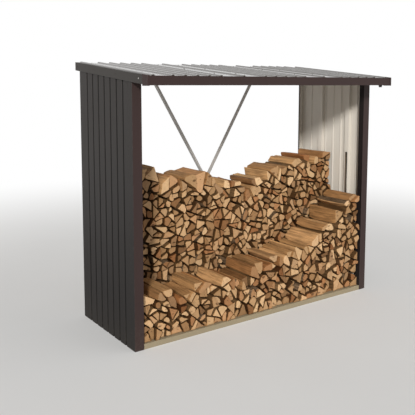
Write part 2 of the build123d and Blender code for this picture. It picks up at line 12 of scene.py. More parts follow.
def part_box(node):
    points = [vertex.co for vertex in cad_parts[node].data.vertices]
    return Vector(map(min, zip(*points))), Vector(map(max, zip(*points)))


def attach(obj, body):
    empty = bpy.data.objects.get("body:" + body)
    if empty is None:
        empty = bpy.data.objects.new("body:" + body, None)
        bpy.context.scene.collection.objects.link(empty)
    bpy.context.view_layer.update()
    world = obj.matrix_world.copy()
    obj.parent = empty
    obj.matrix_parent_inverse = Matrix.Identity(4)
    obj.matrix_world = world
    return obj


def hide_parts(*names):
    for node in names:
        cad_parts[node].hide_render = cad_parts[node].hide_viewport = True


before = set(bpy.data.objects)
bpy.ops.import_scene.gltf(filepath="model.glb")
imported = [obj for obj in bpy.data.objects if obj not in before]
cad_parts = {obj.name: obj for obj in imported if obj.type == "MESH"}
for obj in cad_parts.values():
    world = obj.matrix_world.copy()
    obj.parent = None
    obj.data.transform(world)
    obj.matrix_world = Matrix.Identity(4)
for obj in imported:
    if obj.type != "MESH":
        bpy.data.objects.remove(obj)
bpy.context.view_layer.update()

bl_info = {
    "name": "Log Store",
    "version": (1, 0, 0),
    "blender": (4, 5, 0),
    "location": "3D View > Sidebar > Log Store",
    "description": "Dresses the packed log store: painted sheet, zinc, screws and firewood",
    "category": "Object",
}


def tint(red, green, blue):
    """Scene-linear colour from the 0 to 255 values of a paint sample."""
    def linear(v):
        v /= 255
        return v / 12.92 if v <= 0.04045 else ((v + 0.055) / 1.055) ** 2.4
    return (linear(red), linear(green), linear(blue))


def colour(label, text, red, green, blue):
    """A colour that the user may change."""
    return FloatVectorProperty(name=label, description=text, default=tint(red, green, blue),
                               size=3, min=0.0, max=1.0, subtype="COLOR")


def length(label, text, metres):
    """A length that the user may change."""
    return FloatProperty(name=label, description=text, default=metres, min=0.0, unit="LENGTH",
                         subtype="DISTANCE", precision=4)


def share(label, text, value):
    """A share between none and all."""
    return FloatProperty(name=label, description=text, default=value, min=0.0, max=1.0,
                         subtype="FACTOR")


class SheetFinish(bpy.types.PropertyGroup):
    """Paints and zinc of the sheet metal."""

    outside: colour("Wall paint", "Outside of the walls and sides of the posts", 48, 45, 43)
    # partly painted sheen: the trim paint is the wall paint made lighter, as the verges catch more
    # reflection
    trims: colour("Trim paint", "Verges and rear trim", 58, 55, 52)
    # partly painted reflection: the post paint is the wall paint made warmer, for warm surroundings
    # seen in it
    posts: colour("Post paint", "Posts, gutter and end caps", 55, 43, 41)
    # painted shade: the inner sides of the front posts are painted near black, as their recess lies
    # in shade
    post_inner_shade: colour("Post inner shade", "Inner side of the front posts", 30, 25, 24)
    # partly painted sheen: the roof paint is lighter than the walls' same paint, for its sheen at
    # grazing views
    roof: colour("Roof paint", "Top of the roof panels", 80, 76, 72)
    inside: colour("Inside lacquer", "Inner faces and the wall uprights", 203, 196, 184)
    # partly painted shade: a dark primer in the uprights' hollows, so that their slots read dark as
    # in shade
    primer_shade: colour("Primer", "Hollow side of the wall uprights", 108, 94, 80)
    # partly painted shade: the rail's cream is darkened to how it looks in shade
    foot: colour("Foot rail", "Rail at the front of the floor", 139, 126, 101)
    zinc: colour("Zinc", "Braces, rails and rafters", 178, 175, 170)
    plastic: colour("Spout", "Outlet under the gutter", 38, 36, 35)
    fold: length("Fold", "Rounding of the folds and cut edges of posts, rails and trims", 0.0009)
    rib_fold: length("Rib fold", "Rounding of the folds and cut edges of ribbed sheets", 0.0004)
    dust_height: length("Splash height", "How high rain splash has dulled the store", 0.32)


class FirewoodLook(bpy.types.PropertyGroup):
    """Shapes and tones of the split logs."""

    pale: colour("Pale wood", "Freshly sawn ends", 206, 171, 129)
    warm: colour("Warm wood", "Ends of the heartwood", 160, 112, 73)
    grey: colour("Old wood", "Ends that have weathered", 146, 112, 80)
    side: colour("Split faces", "Tint of the split faces against the ends", 252, 238, 218)
    # painted shade: hidden split faces of covered logs are darkened, for the dark gaps between logs
    stack_shade: share("Tone within the stack", "Tone of hidden split faces against open ones", 0.27)
    bark: colour("Bark", "Ridges of the bark", 122, 98, 74)
    joint: length("Joint", "Most that one side of a log stays clear of its neighbour", 0.0065)
    widest: length("Widest log", "A log that is wider than this is split once more", 0.118)
    corner: length("Corner", "Most that is missing from a log's corner", 0.040)
    warm_share: share("Warm logs", "Share of logs with warm ends", 0.26)
    grey_share: share("Old logs", "Share of logs with weathered ends", 0.16)
    bark_share: share("Bark", "Share of logs that keep a side of bark", 0.12)
    seed: IntProperty(name="Seed", description="Another number gives other logs", default=5, min=0)


class FixingSizes(bpy.types.PropertyGroup):
    """Sizes of the screws and rivets."""

    head: length("Head", "Radius of a screw's head", 0.0042)
    head_high: length("Head height", "Height of a screw's head", 0.0044)
    washer: length("Washer", "Radius of the washer", 0.0072)
    rivet: length("Rivet", "Radius of a blind rivet's head", 0.0048)
    bolt: length("Bolt", "Radius of a brace bolt's head", 0.0085)


class StageLook(bpy.types.PropertyGroup):
    """Floor and light."""

    floor: colour("Floor", "Colour of the studio floor", 232, 231, 229)
    sky: FloatProperty(name="Sky", description="Strength of the even light", default=0.28, min=0.0)
    key: FloatProperty(name="Key", description="Strength of the lamps", default=3.65, min=0.0)


# Shader building

SPLASH = (*tint(142, 134, 120), 1.0)  # tone of dried rain splash
LOW_DARKENING, LOW_DARKENING_TOP = (0.006, 0.005, 0.005, 1.0), 1.75  # tone of the darkening towards the bottom, and the height where it ends
GROOVE_SHADE, GROOVE_SHADE_DEPTHS = (0.004, 0.004, 0.004, 1.0), (0.0032, 0.0014)  # painted shade deep in the grooves: its tone, and the depths between which it fades
OUTER_FLANK_HIGHLIGHT = (0.03, (0.28, 0.26, 0.24))  # amount and tone of a painted highlight on the grooves' flanks outside
# amount and tone of painted shade on the grooves' flanks inside
INNER_FLANK_SHADE = (0.16, (0.05, 0.04, 0.03))
THIN_PAINT = (1.5, 0.06)  # gain and lift of a paint where it is worn
COAT_ROUGHNESS, COAT_IOR = 0.28, 1.7  # clear coat of the roof
CRACK, CRACK_DEPTH = (0.16, 0.11, 0.08, 1.0), 0.75  # tone against the wood, and its depth
RELIEF = 0.004  # height of the unevenness of sheet, split wood and bark


def feed(tree, sockets, inputs):
    """Give sockets their values, or link them to the sockets that feed them."""
    for key, value in inputs.items():
        if isinstance(value, bpy.types.NodeSocket):
            tree.links.new(value, sockets[key])
        else:
            sockets[key].default_value = value


def put(tree, kind, inputs=None, **settings):
    """Outputs of a new node. Its kind is a shader node's, where the name gives no other."""
    made = tree.nodes.new(kind if "Node" in kind else "ShaderNode" + kind)
    for key, value in settings.items():
        setattr(made, key, value)
    feed(tree, made.inputs, inputs or {})
    return made.outputs


def maths(tree, operation, first, second=0.5, third=0.0, clamp=False):
    """Result of a maths node."""
    return put(tree, "Math", {0: first, 1: second, 2: third},
               operation=operation, use_clamp=clamp)[0]


def vary(tree, value, amount, base, middle=0.5):
    """A base that rises and falls by some amount with a value about its middle."""
    return maths(tree, "MULTIPLY_ADD", maths(tree, "SUBTRACT", value, middle), amount, base)


def ramp(tree, value, span, onto=(0.0, 1.0)):
    """A value remapped smoothly from one span onto another."""
    return put(tree, "MapRange", {"Value": value, "From Min": span[0], "From Max": span[1],
                                  "To Min": onto[0], "To Max": onto[1]},
               interpolation_type="SMOOTHSTEP")[0]


def blend(tree, factor, first, second, kind="MIX"):
    """Mix of two colours."""
    return put(tree, "Mix", {0: factor, 6: first, 7: second},
               data_type="RGBA", blend_type=kind, clamp_factor=True)[2]


def shaded(tree, base, value):
    """A colour made darker or lighter by a value."""
    grey = put(tree, "CombineColor", {0: value, 1: value, 2: value})[0]
    return blend(tree, 1.0, base, grey, "MULTIPLY")


def along(tree, vector, axis):
    """One of a vector's three parts."""
    return put(tree, "SeparateXYZ", {0: vector})[axis]


def size_of(tree, vector):
    """Length of a vector."""
    return put(tree, "VectorMath", {0: vector}, operation="LENGTH")["Value"]


def stretch(tree, vector, x, y, z):
    """Coordinates stretched along the axes."""
    return put(tree, "VectorMath", {0: vector, 1: (x, y, z)}, operation="MULTIPLY")[0]


def speckle(tree, vector, scale=1.0, detail=3.0, rough=0.55, distortion=0.0):
    """Value of a noise texture."""
    return put(tree, "TexNoise", {"Vector": vector, "Scale": scale, "Detail": detail,
                                  "Roughness": rough, "Distortion": distortion})[0]


def mark(tree, name, output="Fac"):
    """A mark that the mesh carries."""
    return put(tree, "Attribute", attribute_name=name)[output]


def use(tree, name, inputs):
    """Outputs of an effect."""
    return put(tree, "Group", inputs, node_tree=bpy.data.node_groups[name])


def looked_at(tree):
    """One for what the camera or a shiny thing sees, none for lighting."""
    path = put(tree, "LightPath")
    return maths(tree, "ADD", path["Is Camera Ray"], path["Is Glossy Ray"], clamp=True)


def effect(name, inputs, outputs):
    """A new shader node group that takes coordinates and some values."""
    tree = bpy.data.node_groups.new(name, "ShaderNodeTree")
    tree.interface.new_socket("Vector", in_out="INPUT", socket_type="NodeSocketVector")
    for label, value in inputs.items():
        socket = tree.interface.new_socket(label, in_out="INPUT", socket_type="NodeSocketFloat")
        socket.default_value = value
    for label in outputs:
        tree.interface.new_socket(label, in_out="OUTPUT", socket_type="NodeSocketFloat")
    return tree, put(tree, "NodeGroupInput"), tree.nodes.new("NodeGroupOutput").inputs


def weathering():
    """Sheet metal: broad mottling, rain streaks, splash at the foot, and a fine skin."""
    tree, take, give = effect("Sheet Weathering", {"Mottle": 0.08, "Streaks": 0.06,
                                                   "Splash Height": 0.3, "Skin": 0.2},
                              ["Shade", "Splash", "Height"])
    at = take["Vector"]
    broad = speckle(tree, at, scale=2.4, detail=4.0, rough=0.6)
    rain = speckle(tree, stretch(tree, at, 26.0, 26.0, 1.1), detail=4.0, rough=0.6)
    mottled = vary(tree, broad, take["Mottle"], 1.0)
    risen = maths(tree, "DIVIDE", along(tree, at, 2), take["Splash Height"])
    near = maths(tree, "SUBTRACT", 1.0, risen, clamp=True)
    dots = ramp(tree, speckle(tree, at, scale=60.0, detail=5.0, rough=0.7), (0.35, 0.75))
    skin = speckle(tree, at, scale=420.0, detail=2.0)
    flexed = speckle(tree, stretch(tree, at, 3.0, 3.0, 1.4), detail=1.0)
    rise = maths(tree, "MULTIPLY", take["Skin"], 0.06)
    feed(tree, give, {"Shade": vary(tree, rain, take["Streaks"], mottled),
                      "Splash": maths(tree, "MULTIPLY", maths(tree, "POWER", near, 1.6), dots),
                      "Height": maths(tree, "MULTIPLY_ADD", skin, rise, flexed)})


def worn_edges():
    """Folds and cut edges: the paint is thinner there, in patches."""
    tree, take, give = effect("Worn Edges", {"Edge": 0.0, "Amount": 0.5}, ["Mask"])
    patches = ramp(tree, speckle(tree, take["Vector"], scale=35.0, detail=4.0, rough=0.65),
                   (0.42, 0.68))
    worn = maths(tree, "MULTIPLY", take["Edge"], patches)
    feed(tree, give, {"Mask": maths(tree, "MULTIPLY", worn, take["Amount"])})


def wood_fibre():
    """Split wood: long fibres, darker streaks and torn ridges along the log."""
    tree, take, give = effect("Wood Fibre", {}, ["Shade", "Height"])
    at = take["Vector"]
    coarse = speckle(tree, stretch(tree, at, 70.0, 3.2, 70.0), detail=5.0, rough=0.62,
                     distortion=0.6)
    fine = speckle(tree, stretch(tree, at, 330.0, 11.0, 330.0), rough=0.6, distortion=0.3)
    patch = speckle(tree, stretch(tree, at, 16.0, 6.0, 16.0))
    both = maths(tree, "ADD", maths(tree, "MULTIPLY", coarse, 0.62),
                 maths(tree, "MULTIPLY", fine, 0.38))
    shade = maths(tree, "ADD", ramp(tree, both, (0.32, 0.68), (0.46, 1.2)),
                  ramp(tree, patch, (0.3, 0.75), (-0.14, 0.12)))
    feed(tree, give, {"Shade": shade, "Height": both})


def end_grain():
    """Sawn ends: growth rings round the pith, rays, drying cracks and saw marks."""
    tree, take, give = effect("End Grain", {"Ring Width": 0.0042}, ["Shade", "Crack", "Height"])
    at = take["Vector"]
    bent = vary(tree, speckle(tree, at, scale=22.0), 0.022, size_of(tree, at))
    turns = maths(tree, "DIVIDE", bent, take["Ring Width"])
    ring = maths(tree, "SINE", maths(tree, "MULTIPLY", turns, 2 * math.pi))
    angle = maths(tree, "ARCTAN2", along(tree, at, 1), along(tree, at, 0))
    around = put(tree, "CombineXYZ", {0: angle, 1: along(tree, at, 2)})[0]
    rays = speckle(tree, around, scale=24.0, detail=2.0)
    tear = speckle(tree, around, scale=2.3, detail=1.0)
    thin = ramp(tree, maths(tree, "ABSOLUTE", maths(tree, "SUBTRACT", tear, 0.5)),
                (0.0, 0.022), (1.0, 0.0))
    broken = ramp(tree, speckle(tree, at, scale=26.0, detail=1.0), (0.5, 0.62))
    saw = speckle(tree, stretch(tree, at, 460.0, 26.0, 40.0), detail=2.0)
    patch = speckle(tree, at, scale=34.0, detail=4.0, rough=0.6)
    shade = maths(tree, "MULTIPLY_ADD", ring, 0.055, 1.0)
    for grain, amount in ((rays, 0.18), (saw, 0.16), (patch, 0.5)):
        shade = vary(tree, grain, amount, shade)
    feed(tree, give, {"Shade": shade, "Crack": maths(tree, "MULTIPLY", thin, broken),
                      "Height": maths(tree, "ADD", saw, maths(tree, "MULTIPLY", ring, 0.15))})


def material(name):
    """Tree, shader sockets and object coordinates of a new material."""
    made = bpy.data.materials.new(name)
    made.use_nodes = True
    tree = made.node_tree
    shader = next(n for n in tree.nodes if n.type == "BSDF_PRINCIPLED")
    return tree, shader.inputs, put(tree, "TexCoord")["Object"]


def bump(tree, height, strength, distance=RELIEF):
    """Normal of an uneven surface."""
    return put(tree, "Bump", {"Strength": strength, "Distance": distance, "Height": height})[0]


def sheet_paint(name, paint, roughness, splash=0.1, wear=0.5, mottle=0.16, streaks=0.06,
                uneven=0.25, shine=0.5, coat=0.0, groove_shade=0.0, darker_low=0.0, flanks=None, skin=0.1):
    """Painted sheet: weathered, thin on edges, darker low; painted shade in grooves and light/shade
    on flanks.
    """
    tree, surface, where = material(name)
    weather = use(tree, "Sheet Weathering",
                  {"Vector": where, "Mottle": mottle, "Streaks": streaks, "Skin": skin,
                   "Splash Height": bpy.context.scene.sheet_finish.dust_height})
    worn = use(tree, "Worn Edges",
               {"Vector": where, "Edge": mark(tree, "edge"), "Amount": wear})["Mask"]
    gain, lift = THIN_PAINT
    thin = (*(min(1.0, v * gain + lift) for v in paint), 1.0)
    tone = blend(tree, worn, shaded(tree, (*paint, 1.0), weather["Shade"]), thin)
    # darker towards the bottom
    if darker_low:
        low_down = ramp(tree, along(tree, where, 2), (0.0, LOW_DARKENING_TOP), (darker_low, 0.0))
        tone = blend(tree, low_down, tone, LOW_DARKENING)
    # painted light and shade on the walls' flank faces: a painted highlight outside, painted shade
    # inside
    if flanks:
        amount, flank_tone = flanks
        flank_share = maths(tree, "MULTIPLY", mark(tree, "flank"), amount)
        tone = blend(tree, flank_share, tone, (*flank_tone, 1.0))
    # painted shade: the sheet darkens to near black deep in its grooves, where shade falls
    if groove_shade:
        out = maths(tree, "ABSOLUTE", along(tree, where, 0))
        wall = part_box("side_wall_right")[1].x
        deep = ramp(tree, out, [wall - depth for depth in GROOVE_SHADE_DEPTHS], (groove_shade, 0.0))
        tone = blend(tree, deep, tone, GROOVE_SHADE)
    splashed = maths(tree, "MULTIPLY", weather["Splash"], splash)
    rough = vary(tree, weather["Shade"], 0.9, roughness, middle=1.0)
    rough = maths(tree, "MULTIPLY_ADD", weather["Splash"], 0.25, rough, clamp=True)
    feed(tree, surface, {"Base Color": blend(tree, splashed, tone, SPLASH), "Roughness": rough,
                         "Specular IOR Level": shine, "Coat Weight": coat,
                         "Coat Roughness": COAT_ROUGHNESS, "Coat IOR": COAT_IOR,
                         "Normal": bump(tree, weather["Height"], uneven)})


def zinc_plate(name, base):
    """Galvanised steel, dulled unevenly."""
    tree, surface, where = material(name)
    shade = use(tree, "Sheet Weathering",
                {"Vector": where, "Mottle": 0.08, "Streaks": 0.0})["Shade"]
    feed(tree, surface, {"Base Color": shaded(tree, (*base, 1.0), shade), "Metallic": 0.3,
                         "Roughness": vary(tree, shade, 0.8, 0.5, middle=1.0)})


def moulded(name, base):
    """Moulded plastic with a fine skin."""
    tree, surface, where = material(name)
    cloud = ramp(tree, speckle(tree, where, scale=40.0), (0.3, 0.7), (0.85, 1.15))
    skin = speckle(tree, where, scale=600.0, detail=2.0)
    feed(tree, surface, {"Base Color": shaded(tree, (*base, 1.0), cloud), "Roughness": 0.5,
                         "Normal": bump(tree, skin, 0.15, distance=0.001)})


def sawn_end(name):
    """Sawn ends of the logs, in the tone of each log."""
    tree, surface, _ = material(name)
    tone = mark(tree, "tone", "Color")
    rings = use(tree, "End Grain", {"Vector": put(tree, "UVMap", uv_map="grain")[0]})
    dark = blend(tree, 1.0, tone, CRACK, "MULTIPLY")
    wood = blend(tree, maths(tree, "MULTIPLY", rings["Crack"], CRACK_DEPTH),
                 shaded(tree, tone, rings["Shade"]), dark)
    feed(tree, surface, {"Base Color": wood, "Roughness": 0.82, "Specular IOR Level": 0.25,
                         "Normal": bump(tree, rings["Height"], 0.35, distance=0.0015)})


def split_face(name):
    """Split faces of the logs, in the tone of each log."""
    tree, surface, where = material(name)
    fibre = use(tree, "Wood Fibre", {"Vector": where})
    side = (*bpy.context.scene.firewood_look.side, 1.0)
    tinted = blend(tree, 1.0, mark(tree, "tone", "Color"), side, "MULTIPLY")
    feed(tree, surface, {"Base Color": shaded(tree, tinted, fibre["Shade"]), "Roughness": 0.74,
                         "Specular IOR Level": 0.3, "Normal": bump(tree, fibre["Height"], 0.6)})


def bark_face(name):
    """Bark: ridges with dark furrows along the log."""
    tree, surface, where = material(name)
    ridge = bpy.context.scene.firewood_look.bark
    long = stretch(tree, where, 70.0, 9.0, 70.0)
    wander = put(tree, "TexNoise", {"Vector": long, "Scale": 0.9, "Detail": 3.0})["Color"]
    warped = put(tree, "VectorMath", {0: long, 1: wander}, operation="ADD")[0]
    plates = put(tree, "TexVoronoi", {"Vector": warped, "Scale": 1.0},
                 feature="DISTANCE_TO_EDGE")["Distance"]
    furrow = ramp(tree, plates, (0.0, 0.16))
    fibre = use(tree, "Wood Fibre", {"Vector": where})
    base = blend(tree, furrow, (*(v / 2 for v in ridge), 1.0), (*ridge, 1.0))
    rise = maths(tree, "ADD", furrow, maths(tree, "MULTIPLY", fibre["Height"], 0.4))
    feed(tree, surface, {"Base Color": shaded(tree, base, fibre["Shade"]), "Roughness": 0.9,
                         "Specular IOR Level": 0.2, "Normal": bump(tree, rise, 0.8)})


def finishes():
    """The store's materials by name, built on first use."""
    if "Wall Paint" not in bpy.data.materials:
        look = bpy.context.scene.sheet_finish
        for build in (weathering, worn_edges, wood_fibre, end_grain):
            build()
        # Wall Paint: painted shade in the grooves, darker towards the foot, a painted highlight on
        # the flanks
        sheet_paint("Wall Paint", look.outside, 0.5, streaks=0.1, shine=0.12,
                    groove_shade=0.8, darker_low=0.6, flanks=OUTER_FLANK_HIGHLIGHT)
        # lighter than the wall paint, standing in partly for sheen on the verges
        sheet_paint("Trim Paint", look.trims, 0.5, splash=0.0, shine=0.12)
        # warmer than the wall paint, standing in partly for a reflection of warm surroundings
        sheet_paint("Post Paint", look.posts, 0.46, shine=0.12)
        # painted shade on the front posts' inner sides
        sheet_paint("Post Lining", look.post_inner_shade, 0.6, shine=0.1)
        # lighter than the wall paint, standing in partly for sheen at grazing views
        sheet_paint("Roof Paint", look.roof, 0.3, splash=0.0, wear=0.1, mottle=0.06,
                    uneven=0.0, coat=1.0, skin=0.0)
        sheet_paint("Inside Lacquer", look.inside, 0.5, wear=0.0, mottle=0.04,
                    streaks=0.02, uneven=0.05, flanks=INNER_FLANK_SHADE)
        # darker than the rail's cream, as painted shade
        sheet_paint("Foot Rail Paint", look.foot, 0.55)
        # dark primer of the uprights' hollows, partly painted shade
        sheet_paint("Primer", look.primer_shade, 0.6, shine=0.1)
        zinc_plate("Zinc", look.zinc)
        moulded("Spout Plastic", look.plastic)
        sawn_end("Sawn Ends")
        split_face("Split Faces")
        bark_face("Bark")
    return bpy.data.materials


# Sheet metal

SAME = 1e-5  # points that are nearer than this are one
FLAT, CREASE = math.radians(1.0), math.radians(24.0)  # least and most angle of a soft fold
LEANS, SQUARE, FLANK = 0.12, 0.5, 0.96  # how squarely a face looks in a direction
LEG, BROAD = 0.01, 0.01  # depth of a rear post's leg beside the wall, area of its broad faces


def place(name, mesh):
    """A new object in the scene."""
    made = bpy.data.objects.new(name, mesh)
    bpy.context.scene.collection.objects.link(made)
    return made


def piece_from(name, bm, paints=()):
    """A new piece from an edited mesh, with its finishes."""
    mesh = bpy.data.meshes.new(name)
    bm.to_mesh(mesh)
    bm.free()
    for paint in paints:
        mesh.materials.append(finishes()[paint])
    return place(name, mesh)


def folded_mesh(node, radius, cuts):
    """Mesh of a folded part: its edges rounded and marked, its faces cut where a paint ends."""
    bm = bmesh.new()
    bm.from_mesh(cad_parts[node].data)
    bmesh.ops.remove_doubles(bm, verts=bm.verts, dist=SAME)
    bmesh.ops.dissolve_limit(bm, angle_limit=FLAT, verts=bm.verts, edges=bm.edges)
    bmesh.ops.recalc_face_normals(bm, faces=bm.faces)
    sharp = [e for e in bm.edges if len(e.link_faces) == 2 and e.calc_face_angle() > CREASE]
    made = bmesh.ops.bevel(bm, geom=sharp, offset=radius, segments=2, profile=0.5, affect="EDGES",
                           clamp_overlap=True, loop_slide=True)
    edge, flank = bm.loops.layers.float.new("edge"), bm.loops.layers.float.new("flank")
    for face in bm.faces:
        for loop in face.loops:
            loop[flank] = float(node.startswith("side_wall") and abs(face.normal.x) < FLANK)
    for face in made["faces"]:
        for loop in face.loops:
            loop[edge] = 1.0
    for y in cuts:
        bmesh.ops.bisect_plane(bm, geom=bm.verts[:] + bm.edges[:] + bm.faces[:], dist=1e-6,
                               plane_co=(0, y, 0), plane_no=(0, 1, 0))
    return bm


def dress_sheet(nodes, paints, choose=None, cuts=()):
    """Replace folded parts by rounded ones, each face in the paint that the chooser gives."""
    look = bpy.context.scene.sheet_finish
    for node in nodes:
        ribbed = node.startswith(("side_wall", "roof_panel"))
        bm = folded_mesh(node, look.rib_fold if ribbed else look.fold, cuts)
        for face in bm.faces:
            face.smooth = False
            if choose:
                face.material_index = choose(node, face)
        piece = piece_from(node + "_sheet", bm, paints)
        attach(piece, "root")
        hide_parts(node)


def hidden_strips():
    """Depths between which the wall uprights hide the walls, as pairs."""
    return [tuple(corner.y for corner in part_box("wall_upright_left_" + row))
            for row in ("front", "rear")]


def outwards(node, face):
    """How squarely a face of a left or right part looks away from the store."""
    return face.normal.x * (-1.0 if "left" in node else 1.0)


def outside_or_inside(node, face):
    """Paint of a wall's face: 0 outside and, as painted shade, behind the uprights, 1 inside."""
    y = face.calc_center_median().y
    # painted shade: behind the uprights the wall keeps its dark outside paint, not the lacquer
    hidden = any(low < y < high for low, high in hidden_strips())
    return 1 if outwards(node, face) < -LEANS and not hidden else 0


def rear_or_front(node, face):
    """Paint of a rear post's face: 0 at the back, 1 forwards or inwards, 2 beside the wall."""
    if outwards(node, face) > SQUARE:
        return 2
    leg = max(abs(corner.x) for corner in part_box(node)) - LEG
    lined = outwards(node, face) < -SQUARE and abs(face.calc_center_median().x) > leg
    return 1 if lined or (face.normal.y < -SQUARE and face.calc_area() > BROAD) else 0


def outer_or_inner(node, face):
    """Paint of a front post's face: 0 in front, 1 towards the inside in painted shade, 2 beside the
    wall.
    """
    away = outwards(node, face)
    return 1 if away < -SQUARE else 2 if away > SQUARE else 0


def hat_or_hollow(node, face):
    """Finish of a wall upright's face: 0 outside, 1 in the hollow against the wall, in primer
    partly painted shade.
    """
    low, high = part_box(node)
    inwards = (face.calc_center_median().y - (low.y + high.y) / 2) * face.normal.y < 0
    return 1 if outwards(node, face) > LEANS or (inwards and abs(face.normal.y) > SQUARE) else 0


def top_or_underside(node, face):
    """Paint of a roof panel's face: 0 on top, 1 underneath."""
    return 1 if face.normal.z < -LEANS else 0


# Firewood

ON_FOOT, SOLE = 0.004, 0.006  # how near to the bay's foot a room or a log stands on it
CRUMB = 1e-4  # a shorter side is left alone
ASIDE = 0.8  # how level a room on top has to lie to be split
LOST = 0.4  # share of the corners that are missing, and of a side that one takes at most
BULGE, ROUND = (0.14, 0.24), (0.14, 0.32, 0.5, 0.68, 0.86)  # rise of the bark, and its points
BLUNT, STEP = 0.5, 0.026  # least turn that is rounded, and longest step round a log
SET_BACK = 0.28  # share of the logs that stand well back
SWELL = (0.0, 0.0, 0.8, 1.0, 0.8, 0.0, 0.0)  # how far each section of a log fills its room
LAP, PRESS, SPREAD = 0.006, 0.004, 0.003  # reach past a room: filled, sideways, at the foot
RIM, DRAWN = 0.0022, 0.0018  # length and depth of the worn rim of a sawn end
SHAVED, TORN = 0.0016, 0.0026  # what splitting took all over, and in splinters
ACROSS, DOWN = 28, 7  # splinters a metre, across and along a log
LEAN, TWIST, TURN, SLIP = 0.035, 0.022, 0.03, 0.0012  # spread of how the logs lie
ABOVE, BESIDE = (0.03, 0.16), 0.06  # where a log lies that covers another one


def sides_of(outline):
    """The sides of an outline, each from one corner to the next."""
    return zip(outline, outline[1:] + outline[:1])


def centre_of(outline):
    """Mean of an outline's corners."""
    return sum(outline, Vector((0.0, 0.0))) / len(outline)


def outward(a, b, middle):
    """Direction away from the middle, square to a side."""
    out = Vector(((b - a).y, -(b - a).x)).normalized()
    return -out if (middle - a).dot(out) > 0 else out


def clip(outline, at, out):
    """Part of a convex outline behind the line through a point, with its outward direction."""
    kept = []
    for a, b in sides_of(outline):
        da, db = (a - at).dot(out), (b - at).dot(out)
        if da <= 0:
            kept.append(a)
        if (da < 0 < db) or (db < 0 < da):
            kept.append(a + (b - a) * (da / (da - db)))
    return kept


def logs_of(node):
    """The logs of a bay, each with its outline (x, z) and the places of its two ends."""
    bm = bmesh.new()
    bm.from_mesh(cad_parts[node].data)
    bmesh.ops.remove_doubles(bm, verts=bm.verts, dist=2 * SAME)
    left, found = set(bm.verts), []
    while left:
        seed = min(left, key=lambda v: v.index)
        left.discard(seed)
        island, edge = [seed], [seed]
        while edge:
            for link in edge.pop().link_edges:
                for other in link.verts:
                    if other in left:
                        left.discard(other)
                        island.append(other)
                        edge.append(other)
        near = min(v.co.y for v in island)
        far = max(v.co.y for v in island)
        outline = [Vector((v.co.x, v.co.z)) for v in island if v.co.y < near + CRUMB]
        middle = centre_of(outline)
        outline.sort(key=lambda p: math.atan2(p.y - middle.y, p.x - middle.x))
        found.append((outline, near, far))
    bm.free()
    found.sort(key=lambda log: (round(centre_of(log[0]).y, 4), round(centre_of(log[0]).x, 4)))
    return found


def halves(outline, covered, rng, look):
    """The rooms of the one or two logs in a room of the stack. On top they lie side by side."""
    middle = centre_of(outline)
    along_room = (max(outline, key=lambda p: (p - middle).length) - middle).normalized()
    reach = [(p - middle).dot(along_room) for p in outline]
    wide = max(reach) - min(reach)
    if wide < look.widest or (not covered and abs(along_room.x) < ASIDE):
        return [outline]
    at = middle + along_room * rng.uniform(-0.15, 0.15) * wide
    across = Matrix.Rotation(rng.uniform(-0.4, 0.4), 2) @ along_room
    return [clip(outline, at, across), clip(outline, at, -across)]


def without_corner(shape, corner, rng, look):
    """Outline that has lost a corner to a slanting split."""
    i = min(range(len(shape)), key=lambda k: (shape[k] - corner).length)
    here = shape[i]
    back, on = shape[i - 1] - here, shape[(i + 1) % len(shape)] - here
    cut = min(rng.uniform(0.35, 1.0) * look.corner, back.length * LOST, on.length * LOST)
    p = here + back.normalized() * cut
    q = here + on.normalized() * cut * rng.uniform(0.6, 1.0)
    return clip(shape, p, outward(p, q, centre_of(shape)))


def with_bark(shape, rng):
    """Outline with bark round its longest side, and a point and the direction of that side."""
    sides = [(b - a).length for a, b in sides_of(shape)]
    i = sides.index(max(sides))
    a = shape[i]
    out = outward(a, shape[(i + 1) % len(shape)], centre_of(shape))
    rise = sides[i] * rng.uniform(*BULGE)
    flat = clip(shape, a - out * rise, out)
    ends = [k for k in range(len(flat)) if abs((flat[k] - a).dot(out) + rise) < 1e-6]
    if len(ends) != 2 or len(flat) < 3:
        return shape, None
    start, end = ends if ends[1] - ends[0] == 1 else ends[::-1]
    p, q = flat[start], flat[end]
    arc = [p.lerp(q, t) + out * rise * 0.92 * math.sin(math.pi * t) ** 0.8 for t in ROUND]
    return flat[:start + 1] + arc + (flat[end:] if end > start else []), (p, out)


def whittle(outline, foot, rng, look):
    """Outline of a split log within its room: uneven joints, lost corners, and maybe some bark.

    The lowest logs keep the side that they lie on.
    """
    middle = centre_of(outline)
    shape = list(outline)
    for a, b in sides_of(outline):
        if (b - a).length >= CRUMB:
            out = outward(a, b, middle)
            play = rng.uniform(0.25, 1.0) * look.joint
            if max(a.y, b.y) > foot + ON_FOOT:
                shape = clip(shape, a - out * play, out)
    if len(shape) < 3:
        return None, None
    for corner in list(shape):
        if rng.random() < LOST and corner.y > foot + ON_FOOT:
            shape = without_corner(shape, corner, rng, look)
    return with_bark(shape, rng) if rng.random() < look.bark_share else (shape, None)


def softened(shape, rng):
    """Outline with small rounded corners and points along its longer sides."""
    rounded = []
    for i, here in enumerate(shape):
        inward, onward = here - shape[i - 1], shape[(i + 1) % len(shape)] - here
        if inward.length < SAME or onward.length < SAME:
            continue
        if abs(inward.angle_signed(onward, 0.0)) > BLUNT:
            cut = min(rng.uniform(0.0008, 0.0024), inward.length * 0.3, onward.length * 0.3)
            rounded += [here - inward.normalized() * cut, here + onward.normalized() * cut]
        else:
            rounded.append(here.copy())
    dense = []
    for a, b in sides_of(rounded):
        steps = max(1, round((b - a).length / STEP))
        dense += [a.lerp(b, k / steps) for k in range(steps)]
    return dense


